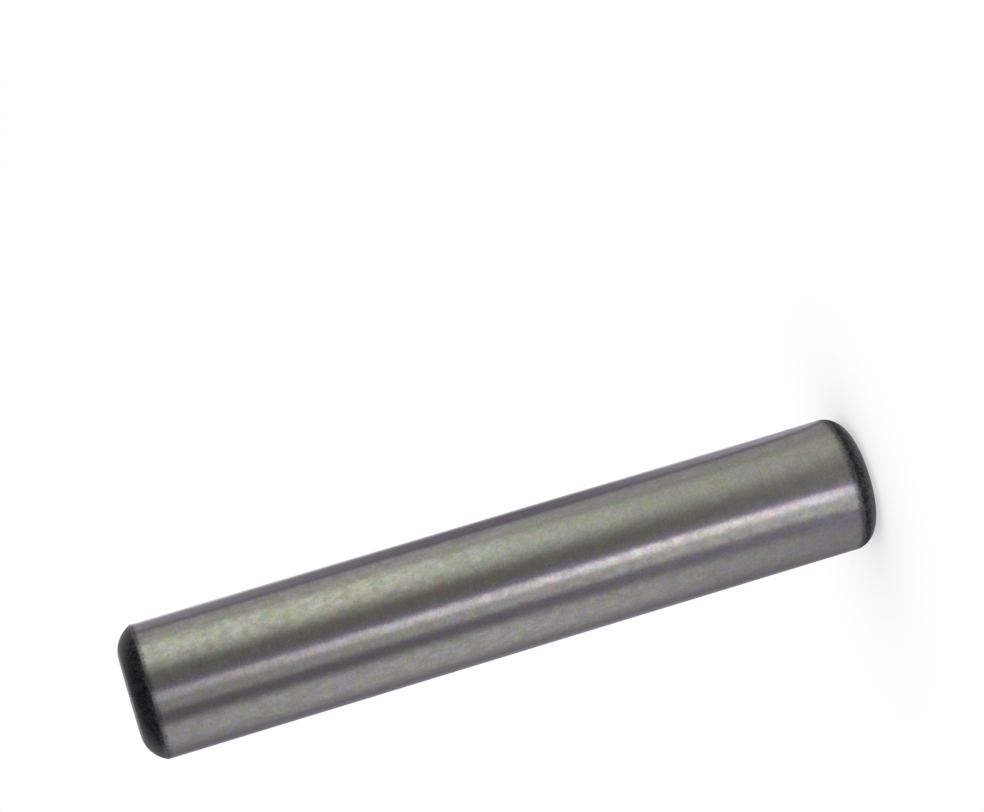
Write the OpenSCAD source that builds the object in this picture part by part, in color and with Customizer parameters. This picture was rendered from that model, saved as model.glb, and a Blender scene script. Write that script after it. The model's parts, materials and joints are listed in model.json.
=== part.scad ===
// Hardened and ground dowel pin, standing on its foot end.
// The origin is the middle of the foot face, and +Z runs up the pin's axis.

/* [Body] */
// Diameter of the ground body
pin_d = 7.943; // [4.5:0.001:25]
// Length from one end face to the other
pin_l = 44.45; // [12:0.05:150]

/* [Top end] */
// Radius of the rounded corner at the top
top_corner_r = 1.9; // [1.2:0.05:2.2]
// Length of the rounded top end, from its face to the ground body
top_end_l = 1.14; // [0.3:0.01:1.2]

/* [Foot end] */
// Radius of the rounded corner at the foot
foot_corner_r = 1.4; // [1.2:0.05:2.2]
// Length of the rounded foot end, from its face to the ground body
foot_end_l = 1.17; // [0.3:0.01:1.2]

/* [Hidden] */

// Bright ground steel
steel_colour = "#9c9a92";
// Sides of the round shapes on screen
$fn = 96;

// Radius of the ground body
pin_r = pin_d / 2;

// Radius of the flat face that a rounded corner leaves on an end of the pin.
// The corner runs out of the face without an edge and meets the ground body at the given length.
function face_r(corner_r, end_l) = pin_r - sqrt(corner_r ^ 2 - (corner_r - end_l) ^ 2);

// Half section of one half of the blank: a flat face on the X axis, a whole rounded corner,
// and a side a little wider than the ground body.
module blank_section(corner_r, end_l) {
    face = face_r(corner_r, end_l);
    half_l = pin_l / 2;
    square([face, half_l]);
    translate([face, corner_r]) circle(r = corner_r);
    translate([0, corner_r]) square([face + corner_r, half_l - corner_r]);
}

// Half section of the pin. Grinding takes the blank down to the size of the body and leaves
// its ends alone, so each rounded corner stops at a crisp edge.
module pin_section() {
    intersection() {
        union() {
            blank_section(foot_corner_r, foot_end_l);
            translate([0, pin_l]) mirror([0, 1]) blank_section(top_corner_r, top_end_l);
        }
        square([pin_r, pin_l]);
    }
}

// The whole pin is one solid of revolution.
module dowel_pin() {
    color(steel_colour) rotate_extrude() pin_section();
}

dowel_pin();
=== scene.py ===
# Dowel pin: a finely turned mesh in ground and unground steel, standing on a pale floor.
from itertools import pairwise
import json
import math

import bpy
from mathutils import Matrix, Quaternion, Vector


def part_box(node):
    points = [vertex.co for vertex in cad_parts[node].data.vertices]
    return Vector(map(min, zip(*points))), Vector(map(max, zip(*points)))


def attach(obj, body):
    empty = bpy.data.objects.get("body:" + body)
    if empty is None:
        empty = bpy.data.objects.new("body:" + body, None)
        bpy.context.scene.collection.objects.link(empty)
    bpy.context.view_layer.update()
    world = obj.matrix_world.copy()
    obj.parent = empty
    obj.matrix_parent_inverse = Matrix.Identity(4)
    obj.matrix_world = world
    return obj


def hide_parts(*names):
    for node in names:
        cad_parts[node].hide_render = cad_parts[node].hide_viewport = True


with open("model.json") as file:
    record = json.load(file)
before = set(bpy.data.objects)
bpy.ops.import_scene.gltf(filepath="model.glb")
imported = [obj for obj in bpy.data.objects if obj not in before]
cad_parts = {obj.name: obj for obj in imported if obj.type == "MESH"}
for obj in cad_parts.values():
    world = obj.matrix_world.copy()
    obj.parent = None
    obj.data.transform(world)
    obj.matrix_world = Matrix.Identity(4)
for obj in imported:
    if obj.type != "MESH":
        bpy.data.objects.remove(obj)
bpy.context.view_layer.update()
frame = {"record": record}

MM = 0.001
BODY_MOUNT = next(m for m in frame["record"]["mounts"] if m["name"] == "body")
LOW_CORNER, HIGH_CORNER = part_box("dowel_pin")

# The pin's sizes, in metres. All but the two corner radii and the edge break come from the frame.
PIN_R = BODY_MOUNT["dims"]["r_mm"] * MM
PIN_L = HIGH_CORNER.z - LOW_CORNER.z
BODY_L = BODY_MOUNT["dims"]["length_mm"] * MM
FOOT_END_L = BODY_MOUNT["pos_m"][2] - BODY_L / 2
TOP_END_L = PIN_L - FOOT_END_L - BODY_L
FOOT_CORNER_R = 1.4 * MM
TOP_CORNER_R = 1.9 * MM
EDGE_BREAK_R = 0.03 * MM

# How finely the mesh is cut: round the axis, along each rounded corner, round the break of its edge
# and along the wall. A flat face has a ring at each of these shares of its radius.
SEGMENTS = 192
CORNER_STEPS = 28
EDGE_STEPS = 4
WALL_STEPS = 48
FACE_RINGS = (0.04, 0.2, 0.4, 0.6, 0.8, 0.94, 0.985)

# Ground steel: its bright colour, how far the stain strays from that, and its colour where it is dull
BRIGHT_STEEL = (0.572, 0.560, 0.540, 1)
STAIN = (0.28, 0.44, 0.72)
DULL_STEEL = (0.36, 0.35, 0.34, 1)
# Unground steel: the scale that dulls the edge of the ground wall, then the darker and paler specks
# on the rounded corners, and those on the flat faces
SCALE = (0.098, 0.10, 0.112, 1)
SCALE_DARK = (0.047, 0.048, 0.055, 1)
SCALE_PALE = (0.169, 0.168, 0.182, 1)
FACE_DARK = (0.40, 0.40, 0.38, 1)
FACE_PALE = (0.56, 0.55, 0.525, 1)

# Size of the patches in each pattern on the steel
RING_SIZE = 0.07 * MM
GRAIN_SIZE = 0.17 * MM
HAZE_SIZE = 0.45 * MM
STAIN_SIZE = 0.7 * MM
MOTTLE_SIZE = 0.35 * MM
GRIT_SIZE = 0.09 * MM
# How two of the patterns are stretched: the rings run round the pin, and the haze is longer along it
RING_STRETCH = (0.012, 0.012, 1.0)
HAZE_STRETCH = (1.0, 1.0, 0.6)
# Depth of the finest grinding marks, of the slow waves under them and of the scale's grit
MARK_DEPTH = 0.002 * MM
WAVE_DEPTH = 0.004 * MM
GRIT_DEPTH = 0.004 * MM
# The share of grain in the grinding marks, and how far those marks and the haze dull the steel at most
GRAIN_SHARE = 0.75
MARK_DULLING = 0.4
HAZE_DULLING = 0.28
# Least and greatest roughness of each steel
GROUND_ROUGHNESS = (0.18, 0.28)
SCALE_ROUGHNESS = (0.38, 0.5)
# How widely the line between the ground wall and the scale strays, how far in from it the wall is dulled
# and the corner is caught by the grinding, and how strongly. The dulled wall is also rougher.
RAGGED_L = 0.65 * MM
DULLED_L = 0.35 * MM
DULLED_SHARE = 0.75
DULLED_ROUGHNESS = 0.15
CAUGHT_L = 0.2 * MM
CAUGHT_SHARE = 0.4


class Graph:
    """A node tree that takes numbers, colours and sockets alike as inputs."""

    def __init__(self, owner):
        owner.use_nodes = True
        self.tree = owner.node_tree
        self.tree.nodes.clear()

    def add(self, kind, inputs=None, **settings):
        node = self.tree.nodes.new("ShaderNode" + kind)
        for name, value in settings.items():
            setattr(node, name, value)
        for key, value in (inputs or {}).items():
            self.feed(node.inputs[key], value)
        return node

    def feed(self, socket, value):
        if isinstance(value, bpy.types.NodeSocket):
            self.tree.links.new(value, socket)
        else:
            socket.default_value = value

    def math(self, operation, *values):
        node = self.add("Math", dict(enumerate(values)), operation=operation)
        return node.outputs[0]

    def vector(self, operation, *values):
        node = self.add("VectorMath", dict(enumerate(values)), operation=operation)
        return node.outputs[0]

    def scale(self, vector, factor):
        node = self.add("VectorMath", {0: vector, "Scale": factor}, operation="SCALE")
        return node.outputs[0]

    def blend(self, a, b, share_of_b):
        """A number made of a and the given share of b."""
        part_a = self.math("MULTIPLY", a, 1 - share_of_b)
        part_b = self.math("MULTIPLY", b, share_of_b)
        return self.math("ADD", part_a, part_b)

    def ramp(self, value, start, end, low=0.0, high=1.0, smooth=True):
        """low up to start, high from end on, and a slope between them. start may be above end."""
        if start > end:
            start, end, low, high = end, start, high, low
        kind = "SMOOTHSTEP" if smooth else "LINEAR"
        inputs = {"Value": value, 1: start, 2: end, 3: low, 4: high}
        return self.add("MapRange", inputs, interpolation_type=kind).outputs[0]

    def mix(self, factor, a, b):
        """The colour a where factor is 0, and b where it is 1."""
        node = self.add("Mix", {0: factor}, data_type="RGBA")
        self.feed(node.inputs[6], a)
        self.feed(node.inputs[7], b)
        return node.outputs[2]

    def noise(self, place, size, detail=3.0, roughness=0.6, output="Fac"):
        """Noise, mostly 0.3 to 0.7, in patches about size metres across. Color gives three numbers."""
        inputs = {"Vector": place, "Scale": 1 / size, "Detail": detail, "Roughness": roughness}
        return self.add("TexNoise", inputs, noise_dimensions="3D").outputs[output]

    def finish(self, shader, kind="OutputMaterial"):
        self.tree.links.new(shader, self.add(kind).inputs["Surface"])


def lathe(rings, segments):
    """Vertices and faces of an open sheet of revolution through (radius, z) rings."""
    turns = [2 * math.pi * k / segments for k in range(segments)]
    vertices = [(r * math.cos(a), r * math.sin(a), z) for r, z in rings for a in turns]
    faces = []
    for ring in range(len(rings) - 1):
        low, high = ring * segments, (ring + 1) * segments
        for k in range(segments):
            n = (k + 1) % segments
            faces.append((low + k, low + n, high + n, high + k))
    return vertices, faces


def mesh_object(name, vertices, faces, materials):
    """A new object of the given mesh and materials, placed in the scene."""
    mesh = bpy.data.meshes.new(name)
    mesh.from_pydata(vertices, [], faces)
    for material in materials:
        mesh.materials.append(material)
    piece = bpy.data.objects.new(name, mesh)
    bpy.context.scene.collection.objects.link(piece)
    return piece


def corner_profile(corner_r, end_l):
    """Half section of one end as (distance in from the face, radius, outward slope in degrees).

    The slope is that of the surface's normal: 90 points out of the face and 0 out of the wall.
    """
    face_r = PIN_R - math.sqrt(corner_r**2 - (corner_r - end_l) ** 2)
    points = [(0.0, face_r * share, 90.0) for share in FACE_RINGS]
    reach = PIN_R - EDGE_BREAK_R - face_r
    rise = math.sqrt((corner_r - EDGE_BREAK_R) ** 2 - reach**2)
    meet = math.degrees(math.atan2(rise, reach))
    for i in range(CORNER_STEPS + 1):
        slope = 90 + (meet - 90) * i / CORNER_STEPS
        q = math.radians(slope)
        points.append((corner_r - corner_r * math.sin(q), face_r + corner_r * math.cos(q), slope))
    for i in range(1, EDGE_STEPS + 1):
        slope = meet * (1 - i / EDGE_STEPS)
        q = math.radians(slope)
        along = corner_r - rise - EDGE_BREAK_R * math.sin(q)
        points.append((along, PIN_R - EDGE_BREAK_R + EDGE_BREAK_R * math.cos(q), slope))
    return points


def pin_profile():
    """Half section of the whole pin from the foot face to the top face, as (z, radius, slope)."""
    foot = corner_profile(FOOT_CORNER_R, FOOT_END_L)
    top = corner_profile(TOP_CORNER_R, TOP_END_L)
    section = [(a, r, -slope) for a, r, slope in foot]
    low, high = foot[-1][0], PIN_L - top[-1][0]
    for i in range(1, WALL_STEPS):
        section.append((low + (high - low) * i / WALL_STEPS, PIN_R, 0.0))
    section += [(PIN_L - a, r, slope) for a, r, slope in reversed(top)]
    return section


def turned_pin():
    """The whole pin as one closed solid of revolution, with exact normals and its two steels."""
    section = pin_profile()
    vertices, faces = lathe([(r, z) for z, r, slope in section], SEGMENTS)
    normals = []
    for z, r, slope in section:
        out, up = math.cos(math.radians(slope)), math.sin(math.radians(slope))
        for k in range(SEGMENTS):
            a = 2 * math.pi * k / SEGMENTS
            normals.append((out * math.cos(a), out * math.sin(a), up))
    last_ring = len(vertices) - SEGMENTS
    foot_point, top_point = len(vertices), len(vertices) + 1
    vertices += [(0, 0, 0), (0, 0, PIN_L)]
    normals += [(0, 0, -1), (0, 0, 1)]
    for k in range(SEGMENTS):
        n = (k + 1) % SEGMENTS
        faces.append((foot_point, n, k))
        faces.append((top_point, last_ring + k, last_ring + n))

    pin = mesh_object("turned_pin", vertices, faces, [ground_steel(), end_steel()])
    for face in pin.data.polygons:
        on_wall = FOOT_END_L < face.center.z < PIN_L - TOP_END_L
        face.material_index = 0 if on_wall else 1
        face.use_smooth = True
    pin.data.normals_split_custom_set_from_vertices(normals)
    return pin


def along_wall(g, place, grain):
    """Distance in from the nearer edge of the ground wall, made ragged by grain. The ends are below 0."""
    z = g.add("SeparateXYZ", {0: place}).outputs[2]
    from_foot = g.math("SUBTRACT", z, FOOT_END_L)
    from_top = g.math("SUBTRACT", PIN_L - TOP_END_L, z)
    ragged = g.math("MULTIPLY", g.math("SUBTRACT", grain, 0.5), RAGGED_L)
    return g.math("ADD", g.math("MINIMUM", from_foot, from_top), ragged)


def ground_steel():
    """Bright ground steel with fine grain, faint grinding rings and a cloudy stain.

    Slow waves in the surface make its highlights uneven. It is duller where the scale of each end begins.
    """
    material = bpy.data.materials.new("ground_steel")
    g = Graph(material)
    place = g.add("TexCoord").outputs["Object"]
    rings = g.noise(g.vector("MULTIPLY", place, RING_STRETCH), RING_SIZE, roughness=0.5)
    grain = g.noise(place, GRAIN_SIZE)
    haze = g.noise(g.vector("MULTIPLY", place, HAZE_STRETCH), HAZE_SIZE)
    marks = g.blend(rings, grain, GRAIN_SHARE)
    stain = g.noise(place, STAIN_SIZE, detail=5.0, roughness=0.8, output="Color")
    stray = g.vector("SUBTRACT", stain, (0.5, 0.5, 0.5))
    colour = g.vector("MULTIPLY_ADD", stray, STAIN, BRIGHT_STEEL[:3])
    colour = g.mix(g.ramp(marks, 0.35, 0.65, 0.0, MARK_DULLING), colour, DULL_STEEL)
    colour = g.mix(g.ramp(haze, 0.35, 0.65, 0.0, HAZE_DULLING), colour, DULL_STEEL)
    dulled = g.ramp(along_wall(g, place, grain), 0.0, DULLED_L, DULLED_SHARE, 0.0)
    roughness = g.ramp(haze, 0.3, 0.7, *GROUND_ROUGHNESS)

    waves = g.add("Bump", {"Height": haze, "Distance": WAVE_DEPTH})
    bump = g.add("Bump", {"Height": marks, "Distance": MARK_DEPTH, "Normal": waves.outputs[0]})
    axis = g.add("Tangent", direction_type="RADIAL", axis="Z").outputs[0]
    shader = g.add("BsdfPrincipled", {
        "Base Color": g.mix(dulled, colour, SCALE),
        "Metallic": 1.0,
        "Roughness": g.math("ADD", roughness, g.math("MULTIPLY", dulled, DULLED_ROUGHNESS)),
        "Anisotropic": 0.8,
        "Anisotropic Rotation": 0.25,
        "Tangent": axis,
        "Normal": bump.outputs[0],
    })
    g.finish(shader.outputs[0])
    return material


def end_steel():
    """Unground steel of the ends: dark specked scale on the rounded corner, and paler on the flat face.

    Grinding has just caught the edge of the corner, so it is brighter there.
    """
    material = bpy.data.materials.new("end_steel")
    g = Graph(material)
    place = g.add("TexCoord").outputs["Object"]
    up = g.add("SeparateXYZ", {0: g.add("NewGeometry").outputs["True Normal"]}).outputs[2]
    on_face = g.ramp(g.math("ABSOLUTE", up), 0.92, 0.995)
    grain = g.noise(place, GRAIN_SIZE)
    mottle = g.noise(place, MOTTLE_SIZE, detail=4.0)
    grit = g.noise(place, GRIT_SIZE)
    speck = g.ramp(g.blend(mottle, grit, 0.5), 0.4, 0.6)
    corner = g.mix(speck, SCALE_DARK, SCALE_PALE)
    face = g.mix(speck, FACE_DARK, FACE_PALE)
    caught = g.ramp(along_wall(g, place, grain), -CAUGHT_L, 0.0, 0.0, CAUGHT_SHARE)

    bump = g.add("Bump", {"Height": grit, "Distance": GRIT_DEPTH})
    shader = g.add("BsdfPrincipled", {
        "Base Color": g.mix(caught, g.mix(on_face, corner, face), BRIGHT_STEEL),
        "Metallic": 1.0,
        "Roughness": g.ramp(mottle, 0.3, 0.7, *SCALE_ROUGHNESS),
        "Normal": bump.outputs[0],
    })
    g.finish(shader.outputs[0])
    return material


# The studio is a white floor and world, one soft lamp, and a light tent that shows only in reflections.
# The tent is a dome whose foot starts under the pin's rounded corner, just off the floor.
TENT_R = 150 * MM
TENT_HOLE_R = 2.7 * MM
TENT_LIFT = 0.02 * MM
# The stage's round sheets stop this far from the axis, and have this many sides.
AXIS_GAP = 0.001 * MM
STAGE_SEGMENTS = 96
DOME_STEPS = 24

# Heights at which a card's brightness is given. The height of a place in the tent is its distance out
# from the axis, as a share of the tent's radius, plus its distance up, as a share of the pin's length.
CARD_HEIGHTS = (0.0, 0.7, 1.4, 2.0)
# Soft cards in the tent. Each has the angles where it starts, is full, stops being full and ends, then
# its brightness at each of those heights, and its tint. Angles are in degrees round the pin, 0 towards
# the camera and growing towards +X, which is the upper side in the camera's picture. A card with angles
# past 180 either way runs on to the back.
CARDS = [
    # The bright strip, its violet edge, and the grey beside that edge
    ((-24, -14, -9, -3), (0.73, 0.92, 0.48, 0.03), (1.06, 0.97, 1.09)),
    ((-9, -5, -2, 3), (0.12, 0.11, 0.07, 0.04), (1.00, 0.40, 1.80)),
    ((-6, -2, 2, 12), (0.08, 0.07, 0.05, 0.04), (1.00, 1.00, 1.00)),
    # The dimmer shelf beside the strip, and the violet shade where it ends
    ((-44, -33, -9, -2), (0.40, 0.43, 0.26, 0.16), (0.99, 1.02, 0.90)),
    ((-74, -46, -30, -12), (0.12, 0.09, 0.00, 0.00), (1.09, 0.93, 1.35)),
    # The panel of the lower half, and the light along the lower rim
    ((-152, -89, -74, -52), (0.09, 0.44, 0.45, 0.30), (0.99, 1.01, 0.97)),
    ((-200, -178, -160, -128), (0.08, 0.20, 0.14, 0.10), (1.00, 0.92, 1.10)),
    # What little light there is in the dark gap above the strip, and a yellow cast from there to the rim
    ((-3, 8, 22, 42), (0.06, 0.00, 0.00, 0.00), (1.00, 1.00, 0.95)),
    ((2, 14, 100, 116), (0.03, 0.03, 0.045, 0.05), (1.00, 1.00, 0.00)),
    # The greenish panel of the upper half, and the plain one beyond it
    ((18, 58, 72, 101), (0.27, 0.36, 0.88, 0.60), (0.95, 1.02, 0.87)),
    ((84, 97, 108, 119), (0.16, 0.29, 0.29, 0.25), (1.00, 1.00, 1.06)),
    # The violet shade along the upper rim, and the light outside it: low down, high up and further round
    ((112, 124, 134, 148), (0.02, 0.03, 0.00, 0.00), (0.60, 0.10, 1.60)),
    ((117, 129, 190, 200), (0.38, 0.00, 0.00, 0.00), (1.00, 0.96, 1.06)),
    ((113, 128, 190, 200), (0.00, 0.00, 0.09, 0.28), (1.00, 0.96, 1.06)),
    ((144, 166, 190, 200), (0.90, 0.40, 0.49, 0.55), (1.00, 0.96, 1.04)),
]
# The tent's own colour between the cards: at the foot, and from the given height up
LOW_WALL = (0.210, 0.200, 0.220, 1)
HIGH_WALL = (0.156, 0.147, 0.172, 1)
HIGH_WALL_START = 0.6
# Where the wall fades into the roof on the way up, the roof's brightness in front of the pin and
# behind it, and where it changes from one to the other on the way back
ROOF_EDGE = (0.35 * TENT_R, 0.6 * TENT_R)
ROOF_GLOWS = (0.10, 0.65)
ROOF_TURN = (0.1 * TENT_R, 0.9 * TENT_R)
# Two rings of the tent on the floor, which colour the foot's rounded corner, and where each fades out.
# The inner one lights the rim of that corner. The outer one is painted shadow: a dark ring that stands in
# for the shadow round the foot, as the corner reflects it.
RIM_COLOUR = (0.6, 0.6, 0.6, 1)
RIM_FADE = (3.6 * MM, 4.32 * MM)
CONTACT_SHADE_COLOUR = (0.20, 0.20, 0.21, 1)
CONTACT_SHADE_FADE = (6.375 * MM, 7.5 * MM)

WHITE = (1, 1, 1, 1)
# The floor's colour as it lights other things, the share of its white that no shadow darkens,
# and its radius in metres
FLOOR_GREY = (0.8, 0.8, 0.8, 1)
FLOOR_GLOW = 0.5
FLOOR_R = 3.0

# The lamp's place and width in metres, and its power in watts
LAMP_PLACE = Vector((0.25, -0.2, 0.7))
LAMP_SIZE = 0.5
LAMP_POWER = 0.6

# The photograph's viewpoint: a little above the top of the standing pin, with the camera rolled
# so that the pin lies across the frame with its top to the left. The roll is in degrees, and the lens
# and sensor are in millimetres.
CAMERA_PLACE = Vector((0, -167.56, 45.76)) * MM
CAMERA_AIM = Vector((10.18, 0, 19.68)) * MM
CAMERA_ROLL = -106.21
CAMERA_LENS = 106.6
CAMERA_SENSOR = 36


def stage_sheet(name, rings, material):
    """A round sheet of the stage through (radius, z) rings."""
    vertices, faces = lathe(rings, STAGE_SEGMENTS)
    sheet = mesh_object(name, vertices, faces, [material])
    return sheet


def tent_material():
    """Glow of the tent by angle round the pin, with a dark roof that gets lighter behind the pin."""
    material = bpy.data.materials.new("tent_glow")
    g = Graph(material)
    xyz = g.add("SeparateXYZ", {0: g.add("TexCoord").outputs["Object"]})
    x, y, z = xyz.outputs[0], xyz.outputs[1], xyz.outputs[2]
    angle = g.math("DEGREES", g.math("ARCTAN2", x, g.math("MULTIPLY", y, -1.0)))
    out = g.math("SQRT", g.math("ADD", g.math("MULTIPLY", x, x), g.math("MULTIPLY", y, y)))
    height = g.math("ADD", g.math("DIVIDE", out, TENT_R), g.math("DIVIDE", z, PIN_L))
    glow = g.mix(g.ramp(height, 0.0, HIGH_WALL_START), LOW_WALL, HIGH_WALL)
    for (start, full, stop, end), glows, tint in CARDS:
        across = g.math("MULTIPLY", g.ramp(angle, start, full), g.ramp(angle, end, stop))
        up = glows[0]
        for (low, high), (below, above) in zip(pairwise(CARD_HEIGHTS), pairwise(glows)):
            up = g.math("ADD", up, g.ramp(height, low, high, 0.0, above - below, smooth=False))
        glow = g.vector("ADD", g.scale(tint, g.math("MULTIPLY", across, up)), glow)
    roof = g.scale(WHITE[:3], g.ramp(y, *ROOF_TURN, *ROOF_GLOWS))
    glow = g.mix(g.ramp(z, *ROOF_EDGE), glow, roof)
    # Painted shadow: the dark ring round the foot stands in for its shadow on the floor, as the corner
    # reflects it
    glow = g.mix(g.ramp(out, *CONTACT_SHADE_FADE), CONTACT_SHADE_COLOUR, glow)
    glow = g.mix(g.ramp(out, *RIM_FADE), RIM_COLOUR, glow)
    g.finish(g.add("Emission", {"Color": glow}).outputs[0])
    return material


def light_tent():
    """A dome of soft light that shows only in reflections and throws no shadow."""
    rings = [(TENT_HOLE_R, TENT_LIFT)]
    for i in range(DOME_STEPS):
        q = math.pi / 2 * i / DOME_STEPS
        rings.append((TENT_R * math.cos(q), TENT_LIFT + TENT_R * math.sin(q)))
    rings.append((AXIS_GAP, TENT_LIFT + TENT_R))
    tent = stage_sheet("light_tent", rings, tent_material())
    tent.visible_camera = False
    tent.visible_diffuse = False
    tent.visible_shadow = False
    tent.visible_transmission = False


def white_floor():
    """A pale floor that the camera and reflections see as white, with a light shadow round the pin."""
    material = bpy.data.materials.new("floor")
    g = Graph(material)
    path = g.add("LightPath").outputs
    seen = g.math("MAXIMUM", path["Is Camera Ray"], path["Is Glossy Ray"])
    seen = g.math("MAXIMUM", seen, path["Is Transmission Ray"])
    lit = g.add("BsdfDiffuse", {"Color": g.mix(seen, FLOOR_GREY, WHITE)}).outputs[0]
    glow = g.add("Emission", {"Color": WHITE}).outputs[0]
    share = g.math("MULTIPLY", seen, FLOOR_GLOW)
    g.finish(g.add("MixShader", {0: share, 1: lit, 2: glow}).outputs[0])
    stage_sheet("floor", [(AXIS_GAP, LOW_CORNER.z), (FLOOR_R, LOW_CORNER.z)], material)


def white_world():
    """Plain white surroundings, which also light the floor."""
    world = bpy.data.worlds.new("world")
    bpy.context.scene.world = world
    g = Graph(world)
    g.finish(g.add("Background", {"Color": WHITE, "Strength": 1.0}).outputs[0], "OutputWorld")


def soft_lamp():
    """A round lamp over the pin that softly shapes the floor's shadow and doesn't show in the steel."""
    lamp = bpy.data.lights.new("soft_lamp", "AREA")
    lamp.shape = "DISK"
    lamp.size = LAMP_SIZE
    lamp.energy = LAMP_POWER
    holder = bpy.data.objects.new("soft_lamp", lamp)
    holder.location = LAMP_PLACE
    holder.rotation_euler = (-LAMP_PLACE).to_track_quat("-Z", "Y").to_euler()
    holder.visible_glossy = False
    bpy.context.scene.collection.objects.link(holder)


def photo_camera():
    """The camera at the photograph's viewpoint."""
    data = bpy.data.cameras.new("camera")
    data.lens = CAMERA_LENS
    data.sensor_width = CAMERA_SENSOR
    data.clip_start = MM
    camera = bpy.data.objects.new("camera", data)
    level = (CAMERA_AIM - CAMERA_PLACE).to_track_quat("-Z", "Y")
    camera.rotation_mode = "QUATERNION"
    camera.rotation_quaternion = level @ Quaternion((0, 0, 1), math.radians(CAMERA_ROLL))
    camera.location = CAMERA_PLACE
    bpy.context.scene.collection.objects.link(camera)
    bpy.context.scene.camera = camera


pin = turned_pin()
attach(pin, "root")
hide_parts("dowel_pin")

white_floor()
white_world()
light_tent()
soft_lamp()
photo_camera()
bpy.context.scene.view_settings.view_transform = "Standard"
